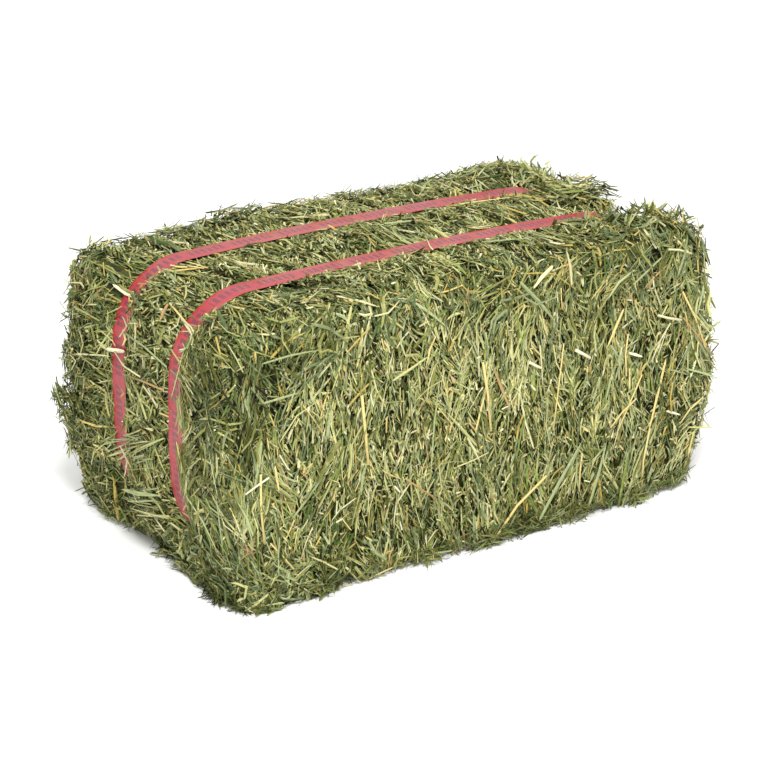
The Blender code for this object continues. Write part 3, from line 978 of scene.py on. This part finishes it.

# %% [markdown]
# ## Locks that give this bale its looks
# Random hay has no face. What one remembers of a bale are a few things: dark strands down its
# near corner, bundles that have swung across a strap, coarse stems that stand off the top edge,
# and a ragged hem at the foot. Each is a patch: a range in the two axes of a side, a number of
# bits, and a heading with its spread, in a table like that of the layers.

# %% Patches of loose hay
# DARK and SHADED lean to the darkest families: painted shade at the foot, along the hems and down the near
# corner; a light below nought on the near top edge and the hems is painted shade too.
DARK = dict(deep=0.8, olive=5, grey_green=4, fresh=1)
STRANDS = dict(deep=0.4, olive=4, grey_green=5, sage=3, fresh=1, pale=0.5)
SHADED = dict(deep=3, olive=5, grey_green=3, fresh=0.6, sage=0.5)
CURLS = dict(grey_green=5, sage=3, olive=3, deep=0.3, pale=0.8)
MIXED = dict(olive=3, sage=5, grey_green=4, pale=1.5, fresh=1, straw=0.6)
BRISTLE = dict(deep=0.4, olive=3, sage=3, grey_green=5, fresh=1, straw=1, pale=0.8)
BUNDLE = dict(grey_green=4, sage=2)
SWUNG = dict(creep=(30, 30), led=0.05, bend=0.015, follow=(0.2, 0.6), contrast=0.3, tips=(0, 1))
CURLED = dict(tips=(-2, 8), bend=0.45, follow=(0.0, 0.6), contrast=0.55)
PROUD = dict(tips=(0, 8), follow=(0.0, 0.4), contrast=0.35)
HEM = dict(tips=(1, 10), follow=(0.0, 0.6))
PATCH_COLUMNS = (
    "side", "first", "second", "number", "turn", "spread", "light", "length", "width", "height", "tones",
)
PATCHES = {
    "corner_strands_end": ("near_end", (-190, -92), (-130, 10), 300, 84, 15, 0.16, (40, 95), (0.7, 1.8),
        (-1, 6), STRANDS, dict(contrast=0.48)),
    "corner_strands_front": ("front", (-328, -280), (-130, 10), 180, 95, 14, 0.06, (36, 85), (0.7, 1.8),
        (-1, 5), STRANDS, dict(contrast=0.48)),
    "corner_dark_end": ("near_end", (-190, -110), (20, 125), 190, 86, 16, -0.28, (25, 70), (0.7, 1.8),
        (0, 5), SHADED, dict(contrast=0.25)),
    "corner_dark_front": ("front", (-328, -288), (20, 115), 120, 94, 16, -0.28, (25, 65), (0.7, 1.8),
        (0, 4.5), SHADED, dict(contrast=0.25)),
    "corner_curls_end": ("near_end", (-190, -50), (-160, -105), 330, 10, 80, 0, (18, 48), (0.9, 2.2),
        (0, 9), CURLS, CURLED),
    "corner_curls_front": ("front", (-327, -250), (-160, -115), 170, 80, 70, -0.08, (18, 44), (0.9, 2),
        (0, 7), CURLS, CURLED),
    "strap_overhang": ("near_end", (-98, -81), (-90, 150), 280, 86, 11, 0.12, (30, 70), (0.6, 1.3),
        (2.5, 4.5), MIXED, dict(creep=(9, 20), contrast=0.35)),
    "far_overhang": ("near_end", (80, 94), (-60, 120), 70, 80, 30, 0.05, (20, 50), (0.6, 1.3), (2, 4.5),
        MIXED, dict(creep=(7, 14), contrast=0.3)),
    "bundle_high": ("near_end", (0, 62), (-52, -22), 24, 158, 4, 0.6, (95, 140), (0.9, 1.7), (4, 9),
        BUNDLE, SWUNG),
    "bundle_low": ("near_end", (-15, 50), (-108, -72), 30, 162, 5, 0.6, (85, 130), (0.9, 1.7), (4, 9),
        BUNDLE, SWUNG),
    "far_top_tuft": ("top", (235, 326), (-18, 40), 330, 60, 60, -0.05, (28, 70), (0.9, 2.1), (4, 22),
        BRISTLE, PROUD),
    "far_top_side": ("top", (200, 322), (92, 150), 120, 60, 60, -0.05, (25, 60), (0.9, 2.1), (2, 9),
        BRISTLE, PROUD),
    "far_top_gap": ("top", (284, 326), (46, 118), 230, 70, 50, -0.05, (24, 60), (0.9, 2.1), (2, 22),
        BRISTLE, dict(tips=(0, 6), follow=(0.0, 0.4), contrast=0.35, creep=(30, 30))),
    "far_top_edge": ("top", (-320, 310), (140, 188), 240, 15, 40, 0, (25, 70), (0.7, 1.6), (1, 5), BRISTLE,
        dict(tips=(1, 8), follow=(0.0, 0.6))),
    "near_top_edge": ("front", (-300, 320), (105, 160), 330, 100, 55, -0.2, (20, 55), (0.9, 2.1), (0, 6),
        BRISTLE, dict(tips=(1, 6), follow=(0.1, 0.8), contrast=0.35)),
    "far_corner": ("front", (285, 326), (-20, 150), 150, -62, 22, 0, (30, 75), (0.9, 1.9), (1, 6), BRISTLE,
        dict(tips=(1, 6), follow=(0.0, 0.5), contrast=0.35)),
    "far_corner_top": ("top", (180, 325), (-188, -80), 230, 50, 60, -0.1, (24, 62), (0.9, 2.1), (1, 9),
        BRISTLE, dict(tips=(2, 14), follow=(0.0, 0.4), contrast=0.35)),
    "left_bulge": ("near_end", (158, 186), (-45, -10), 90, -12, 30, 0, (30, 60), (0.6, 1.6), (0, 10), MIXED,
        dict(tips=(0, 6), follow=(0.0, 0.2))),
    "corner_hem": ("near_end", (-180, -110), (-161, -145), 70, 20, 50, -0.1, (25, 55), (0.6, 1.4), (1, 8),
        DARK, dict(tips=(4, 16), follow=(0.0, 0.3), bend=0.3)),
    "front_hem_tuft": ("front", (-20, 100), (-161, -148), 60, 15, 40, -0.1, (25, 55), (0.6, 1.4), (1, 6),
        DARK, dict(tips=(3, 14), follow=(0.0, 0.3))),
    "front_hem": ("front", (-320, 320), (-161, -140), 330, 60, 50, -0.25, (12, 36), (0.6, 1.5), (0, 5),
        DARK, HEM),
    "back_hem": ("back", (-320, 320), (-161, -140), 250, 60, 50, -0.25, (12, 36), (0.6, 1.5), (0, 5), DARK,
        HEM),
    "near_end_hem": ("near_end", (-185, 185), (-161, -135), 120, 12, 36, -0.05, (20, 60), (0.8, 2), (-2, 6),
        DARK, dict(tips=(0, 10), follow=(0.0, 0.5), contrast=0.2, bend=0.25)),
    "far_end_hem": ("far_end", (-185, 185), (-161, -135), 160, 40, 50, -0.2, (12, 40), (0.6, 1.5), (0, 5),
        DARK, HEM),
    "far_end_bristle": ("far_end", (-180, 180), (-100, 155), 170, 30, 70, 0, (25, 60), (0.6, 1.5), (1, 6),
        BRISTLE, dict(tips=(2, 10), follow=(0.0, 0.4))),
    "near_end_bristle": ("near_end", (20, 185), (-100, 155), 200, -20, 60, 0, (20, 55), (0.6, 1.5), (1, 6),
        BRISTLE, dict(tips=(2, 10), follow=(0.0, 0.4))),
}
HEM_TUFTS = {"near_end": (-168, -134, -64, -35, -2), "front": (-243, -225, -76, 24, 61, 96, 132, 231)}
for side, places in HEM_TUFTS.items():
    for place in places:
        PATCHES[f"tuft_{side}_{place}"] = (
            side, (place - 14, place + 14), (-160, -146), 26, 15, 60, 0, (18, 45), (0.7, 1.7), (1, 8), DARK,
            dict(tips=(3, 14), follow=(0.0, 0.3), bend=0.35),
        )
RUST = [(115, 146), (238, 118), (-312, -81), (-261, -133), (-142, -143), (-243, -155)]
for across, up in RUST:
    PATCHES[f"rust_{across}"] = (
        "front", (across - 11, across + 11), (up - 10, up + 10), 14, 95, 45, 0.1, (8, 24), (0.6, 1.3),
        (1, 4.5), dict(tan=4, straw=1),
    )
TOES = {"front": (-326, -215), "near_end": (-188, -60)}
for side, reach in TOES.items():
    PATCHES[f"toe_{side}"] = (
        side, reach, (-162, -98), 320, 80, 60, -0.15, (10, 30), (0.9, 2.4), (1.5, 6), SHADED,
        dict(shape=CHAFF, contrast=0.35),
    )
PATCH_HABITS = dict(
    shape=LONG_LEAF, bend=0.10, tips=(0, 3), follow=(0.6, 1.0), creep=(0, 6), tilt=1, contrast=0.1, led=1.0,
)


def spread_patch(row):
    """The bits of a patch: middles at random in its range, headings round its own turn."""
    patch = filled_in(PATCH_COLUMNS, row, PATCH_HABITS)
    outward, first, second = side_axes(patch["side"])
    count = patch["number"]
    middle = np.tile(outward * HALF, (count, 1))
    middle += between(patch["first"], count)[:, None] * first
    middle += between(patch["second"], count)[:, None] * second
    heading = np.radians(patch["turn"]) + np.radians(patch["spread"]) * random.normal(size=count)
    light = patch["light"] + patch["contrast"] * random.normal(size=count)
    return lay_down(patch["side"], patch, middle, heading, light)


print(len(PATCHES), "patches")

# %% [markdown]
# ## Single stems worth placing
# A few stems catch the eye: a cream husk and a brown straw across the far strap, yellow straws
# on the long side, a green blade at the foot. A row is a stem's two ends in its side, its half
# width, its shape, its tone and its height, in millimetres. The stem is laid like any other.

# %% Single stems
SINGLES = {
    "near_end": [
        ((88, 64), (30, 78), 2.6, LONG_LEAF, "cut", 6),
        ((29, 55), (-53, 60), 1.4, STEM, "tan", 6),
        ((67, 66), (-15, 64), 1.2, STEM, "pale", 7),
        ((25, 107), (-60, 90), 1.3, STEM, "grey_green", 7),
        ((-74, 111), (-100, 122), 1.1, LONG_LEAF, "pale", 6),
        ((-88, 114), (-70, 52), 1.2, LONG_LEAF, "sage", 6),
        ((-30, 158), (-31, 134), 1.7, LONG_LEAF, "tan", 5),
        ((-30, 160), (-64, 147), 1.2, STEM, "straw", 5),
        ((-168, -30), (-160, -100), 2, LONG_LEAF, "grey_green", 5),
        ((184, 34), (71, 64), 1.1, LONG_LEAF, "pale", 4),
        ((-58, 146), (-86, 134), 1.6, LONG_LEAF, "pale", 4),
        ((-50, 150), (-95, 140), 1.2, STEM, "pale", 5),
        ((100, 146), (56, 144), 2.1, LONG_LEAF, "cut", 4),
        ((92, 150), (35, 150), 1.4, LONG_LEAF, "olive", 6),
    ],
    "front": [
        ((-174.5, 58), (-169, -22), 2, STEM, "straw", 5),
        ((-8, 60), (2, -22), 1.6, STEM, "straw", 5),
        ((6, 50), (29, -4), 2.2, LONG_LEAF, "tan", 5),
        ((-20, -20), (4, 58), 1.3, LONG_LEAF, "straw", 4),
        ((6, -154), (82.5, -92), 1.9, STEM, "straw", 6),
        ((74, -154), (135, -60), 2.4, LONG_LEAF, "grey_green", 5),
        ((-301, 3), (-298, -80), 1.6, STEM, "straw", 4),
        ((256, 15), (238, -75), 1.9, LONG_LEAF, "straw", 5),
        ((239, -70), (231, -150), 1.3, STEM, "straw", 4),
        ((276, 95), (310, 20), 1.3, STEM, "straw", 5),
        ((190, -60), (225, 0), 1.3, STEM, "straw", 5),
        ((150, -150), (172, -70), 2.2, LONG_LEAF, "grey_green", 5),
        ((196, -158), (208, -90), 2.2, LONG_LEAF, "fresh", 5),
        ((90, -40), (105, 60), 1.3, STEM, "straw", 4),
        ((-85, -50), (-70, 60), 1.5, LONG_LEAF, "grey_green", 4),
        ((205, 30), (225, 22), 1.8, LONG_LEAF, "cut", 5),
        ((260, -52), (282, -62), 1.8, LONG_LEAF, "cut", 5),
        ((122, 49), (145, 35), 2, STEM, "cut", 5),
        ((242, 70), (274, 59), 1.8, STEM, "pale", 5),
        ((54, 48), (71, 38), 1.8, STEM, "cut", 5),
        ((251, 148), (288, 140), 1.4, STEM, "pale", 5),
        ((38, 145), (92, 89), 2.1, LONG_LEAF, "grey_green", 6),
        ((197, 85), (172, 40), 1.9, LONG_LEAF, "straw", 5),
        ((216, -27), (176, -54), 1.1, STEM, "straw", 5),
        ((277, 62), (326, -4), 1, STEM, "tan", 5),
        ((286, 72), (318, 31), 1.4, LONG_LEAF, "sage", 5),
        ((250, 131), (221, 106), 1.7, LONG_LEAF, "tan", 5),
        ((243, 142), (195, 105), 1.8, LONG_LEAF, "grey_green", 6),
        ((-292, -2), (-315, -16), 1.2, STEM, "cut", 5),
        ((-285, 9), (-281, -22), 1.7, LONG_LEAF, "straw", 5),
        ((-300, 125), (-230, 123), 1.4, LONG_LEAF, "grey_green", 6),
        ((-297, 80), (-253, 80), 1.6, LONG_LEAF, "grey_green", 5),
        ((-117, -51), (-73, -86), 1.1, STEM, "tan", 5),
        ((-130, 102), (-114, 117), 1.2, STEM, "pale", 5),
        ((-136, 65), (-83, 83), 1.4, LONG_LEAF, "sage", 5),
    ],
    "top": [
        ((118, -148), (130, -161), 1.8, STEM, "pale", 5),
        ((10, -58), (-14, -104), 0.9, STEM, "pale", 4),
        ((120, 30), (190, 10), 2, LONG_LEAF, "straw", 5),
        ((40, -120), (115, -130), 1.9, LONG_LEAF, "grey_green", 5),
    ],
}


def single_stem(side, start, end, half_width, shape, family, height):
    """The centre line between two places in a side, as one bit of the right kind."""
    outward, first, second = side_axes(side)
    start, end, width, height = [np.atleast_1d(value) / 1000.0 for value in (start, end, half_width, height)]
    reach = end - start
    middle = outward * HALF + (start + 0.5 * reach) @ np.stack([first, second])
    lines, normals = centre_lines(
        side, middle[None], np.arctan2(reach[1:], reach[:1]), np.array([np.hypot(*reach)]),
        bend=random.uniform(-0.04, 0.04, 1), height=height, tips=np.array([0.001]),
        tilt=np.zeros(1), follow=np.array([0.8]), creep=np.array([0.03]),
    )
    first_column, last_column = columns(family)
    tone = np.array([round(0.3 * first_column + 0.7 * last_column)])
    return bend_along(shape, lines, normals, random.uniform(-0.3, 0.3, 1), width, 0.5 * width, tone)


singles = [single_stem(side, *row) for side, rows in SINGLES.items() for row in rows]
print(len(singles), "single stems")

# %% Make the loose stems one piece
loose = mesh_piece("loose_stems", [spread_patch(patch) for patch in PATCHES.values()] + singles, hay)
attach(loose, "root")
print(loose.name, len(loose.data.polygons), "triangles, volume", outward_volume(loose.data))

# %% [markdown]
# ## The straps
# Each strap is one band of woven plastic, pulled tight round the bale and welded to itself at
# the far end, where its two ends lie on each other. Its line is the pressed form with the full
# pull of the strap, so it lies on the hay by itself.

# %% The line of a strap
STRAP_SIGNS = {"strap_front": -1.0, "strap_back": 1.0}
CORNER_POINTS = 26
LONG_POINTS = 110
SHORT_POINTS = 34
WELD_HEIGHT = 0.150
WELD_LENGTH = 0.045


def strap_loop(y):
    """X and Z round the straps' own box, pressed: four quarter turns joined by straights."""
    end_bite = STRAP_END_BITE[0] if y < 0 else STRAP_END_BITE[1]
    middle = HALF[[0, 2]] - np.array([end_bite, STRAP_BITE]) - STRAP_RADIUS
    corners = np.array([(1, 1), (-1, 1), (-1, -1), (1, -1)])
    nominal = []
    for quarter, corner in enumerate(corners):
        turn = np.linspace(0.0, np.pi / 2, CORNER_POINTS + 1) + quarter * np.pi / 2
        arc = corner * middle + STRAP_RADIUS * np.column_stack([np.cos(turn), np.sin(turn)])
        after = arc[-1] + (corners[(quarter + 1) % 4] - corner) * middle
        steps = LONG_POINTS if quarter % 2 == 0 else SHORT_POINTS
        share = np.arange(1, steps)[:, None] / steps
        nominal += [arc, arc[-1] + share * (after - arc[-1])]
    flat = np.concatenate(nominal)
    pressed = press(np.column_stack([flat[:, 0], np.full(len(flat), y), flat[:, 1]]), 1.0)
    return pressed[:, [0, 2]]


def opened_at_weld(loop):
    """The loop as an open line that starts below the weld and laps over itself by its length."""
    far = loop[:, 0] > 0.5 * HALF[0]
    start = np.argmin(np.where(far, np.abs(loop[:, 1] - WELD_HEIGHT + WELD_LENGTH / 2), 9.0))
    turned = np.roll(loop, -start, axis=0)
    lap = turned[turned[:, 1] < WELD_HEIGHT + WELD_LENGTH / 2]
    lap = lap[(lap[:, 0] > 0.5 * HALF[0]) & (lap[:, 1] >= turned[0, 1])]
    return np.concatenate([turned, lap]), len(turned)


loops = {name: strap_loop(sign * STRAP_Y) for name, sign in STRAP_SIGNS.items()}
for name, loop in loops.items():
    around = np.linalg.norm(np.diff(np.concatenate([loop, loop[:1]]), axis=0), axis=1).sum()
    print(name, "is", round(float(around), 3), "metres round")

# %% [markdown]
# ## The finish of the straps
# The band is crimson plastic, embossed with a fine crossed weave. On top it is painted paler, a
# salmon pink that is painted light and sheen, and on the upright ends it keeps its deep colour.
# Slow patches of painted sheen and patches of wear pale it too. A worn row of plain dashes is
# printed down its middle.

# %% The strap material
STRAP_COLOUR = linear((160, 10, 32))
STRAP_LIT_AND_WORN = linear((160, 82, 70))
PRINT_COLOUR = linear((66, 14, 48))
LOOP_LENGTH = 1.86
TOP_MIDDLE = 0.53
WEAVE_PITCH = 0.0022
STROKES_PER_METRE = 125.0
GROUPS_PER_METRE = 17.0


def strap_finish():
    """Colour = crimson paled by wear, by a painted sheen and by painted light on top, with dashes where two
    fractions agree. Bump = weave.
    """
    finish = Finish("woven_strap")
    along, across = finish.map_place()
    metres = along * LOOP_LENGTH
    off_middle = (across - 0.5).absolute()
    worn = finish.noise(metres * 60.0, across * 3.0, 0.0, detail=5.0)
    grain = finish.noise(metres * 900.0, across * 22.0, 3.0)
    painted_sheen = finish.noise(metres * 11.0, across * 1.4, 8.0)
    # Painted light: the top of the loop is mixed towards the pale colour, and a slow noise adds a painted
    # sheen; the worn noise is real wear.
    painted_top_light = ((metres - TOP_MIDDLE) * (4.0 * np.pi / LOOP_LENGTH) + 0.5 * np.pi).sine()
    base = finish.mix((worn + painted_sheen - 0.88) * 1.3 + painted_top_light * 0.32, (*STRAP_COLOUR, 1.0), (*STRAP_LIT_AND_WORN, 1.0))
    stroke = (metres * STROKES_PER_METRE).fraction() > 0.42
    group = (metres * GROUPS_PER_METRE).fraction() > 0.16
    in_row = 1.0 - (off_middle > 0.21)
    kept = worn * 1.1 + grain * 0.5 > 0.66
    inked = finish.mix(stroke * group * in_row * kept * 0.66, base, (*PRINT_COLOUR, 1.0))
    wave = 2.0 * np.pi / WEAVE_PITCH
    warp = (metres * wave + across * 36.0).sine()
    weft = (metres * wave - across * 36.0).sine()
    bump = finish.node("Bump", inputs={
        "Height": warp * weft + grain * 0.6, "Distance": 0.0002, "Strength": 0.6,
    })
    return finish.surface(
        {"IOR": 1.5, "Specular IOR Level": 1.0},
        Base_Color=inked,
        Roughness=0.30 + worn * 0.16,
        Normal=bump.outputs[0],
    )


strap_plastic = strap_finish()
print("the strap material has", len(strap_plastic.node_tree.nodes), "nodes")

# %% [markdown]
# ## Carrying the band along its line
# The section is a thin oval, flat in the middle and round at the edges. The way out is square
# to the line everywhere, so the band never twists, and a slow wave shifts it sideways by
# fractions of a millimetre. At the weld it climbs by its own thickness onto its first turn.

# %% Build the straps
SECTION_SIDES = 12
STRAP_RISE = 0.00015
LAP_CLIMB = 0.030


def strap_section():
    """Across and up round a thin oval: the cosine and the sine, each flattened by a power."""
    turn = 2.0 * np.pi * np.arange(SECTION_SIDES) / SECTION_SIDES
    across = np.sign(np.cos(turn)) * np.abs(np.cos(turn)) ** 0.55
    up = np.sign(np.sin(turn)) * np.abs(np.sin(turn)) ** 0.4
    return across * STRAP_WIDTH / 2, 0.5 + 0.5 * up


def strap_piece(name, sign):
    """The section at every point of the opened line, moved out by its lift and aside by its wave."""
    line, once = opened_at_weld(loops[name])
    ahead = unit(np.gradient(line, axis=0))
    outward = np.column_stack([ahead[:, 1], -ahead[:, 0]])
    run = np.concatenate([[0.0], np.cumsum(np.linalg.norm(np.diff(line, axis=0), axis=1))])
    lapping = smooth_step((run - run[once] + LAP_CLIMB) / LAP_CLIMB)
    lift = STRAP_RISE + lapping * (STRAP_THICKNESS + STRAP_RISE)
    shift = 0.0006 * np.sin(run * 9.0 + sign) + 0.0003 * np.sin(run * 31.0 + 2.0 * sign)
    across, up = strap_section()
    height = lift[:, None] + up[None] * STRAP_THICKNESS
    x = line[:, :1] + outward[:, :1] * height
    z = line[:, 1:] + outward[:, 1:] * height
    y = sign * STRAP_Y + shift[:, None] + across[None] + 0.0 * x
    points, triangles = closed_rings(np.stack([x, y, z], axis=2).reshape(-1, 3), SECTION_SIDES)
    triangles = triangles[:, ::-1]
    along = np.concatenate([np.repeat(run, SECTION_SIDES), [run[0], run[-1]]]) / LOOP_LENGTH
    place = np.concatenate([np.tile(across / STRAP_WIDTH + 0.5, len(line)), [0.5, 0.5]])
    texture = np.stack([along[triangles], place[triangles]], axis=2) * np.array([0.98, 1.0])
    part = (points, triangles, texture.reshape(-1, 2), np.ones(len(triangles), bool))
    return mesh_piece(name + "_band", [part], strap_plastic)


for name, sign in STRAP_SIGNS.items():
    piece = strap_piece(name, sign)
    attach(piece, "root")
    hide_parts(name)
    print(piece.name, "volume", outward_volume(piece.data))

# %% [markdown]
# ## The studio
# The photograph is a bright cut-out on white, so the light is wide and soft: a pale sky all
# round, one lamp high on the left in front, and a weaker one from the right over a pale floor.

# %% Floor, light and view
FLOOR_REACH = 9.0


def make_floor():
    """A flat square, its edges far outside the view."""
    corners = FLOOR_REACH * np.array([[-1, -1, 0], [1, -1, 0], [1, 1, 0], [-1, 1, 0]], float)
    mesh = bpy.data.meshes.new("floor")
    mesh.from_pydata(corners.tolist(), [], [(0, 1, 2, 3)])
    finish = Finish("pale_floor")
    mesh.materials.append(finish.surface({"Base Color": (0.86, 0.86, 0.85, 1.0), "Roughness": 0.9}))
    floor = bpy.data.objects.new("floor", mesh)
    bpy.context.scene.collection.objects.link(floor)


def area_light(name, place, size, power):
    """A square lamp that faces the middle of the bale."""
    light = bpy.data.lights.new(name, "AREA")
    light.size = size
    light.energy = power
    lamp = bpy.data.objects.new(name, light)
    lamp.location = place
    lamp.rotation_euler = (Vector((0.0, 0.0, 0.15)) - lamp.location).to_track_quat("-Z", "Y").to_euler()
    bpy.context.scene.collection.objects.link(lamp)


make_floor()
area_light("key_light", Vector((-1.3, -2.0, 2.8)), 0.8, 120.0)
area_light("fill_light", Vector((2.6, -1.4, 1.6)), 1.8, 26.0)
world = bpy.data.worlds.new("pale_sky")
world.use_nodes = True
world.node_tree.nodes["Background"].inputs["Color"].default_value = (1.0, 1.0, 1.0, 1.0)
world.node_tree.nodes["Background"].inputs["Strength"].default_value = 1.05
bpy.context.scene.world = world
bpy.context.scene.view_settings.view_transform = "Standard"

# %% [markdown]
# ## The size
# Loose hay may stand a little proud of the CAD solids.
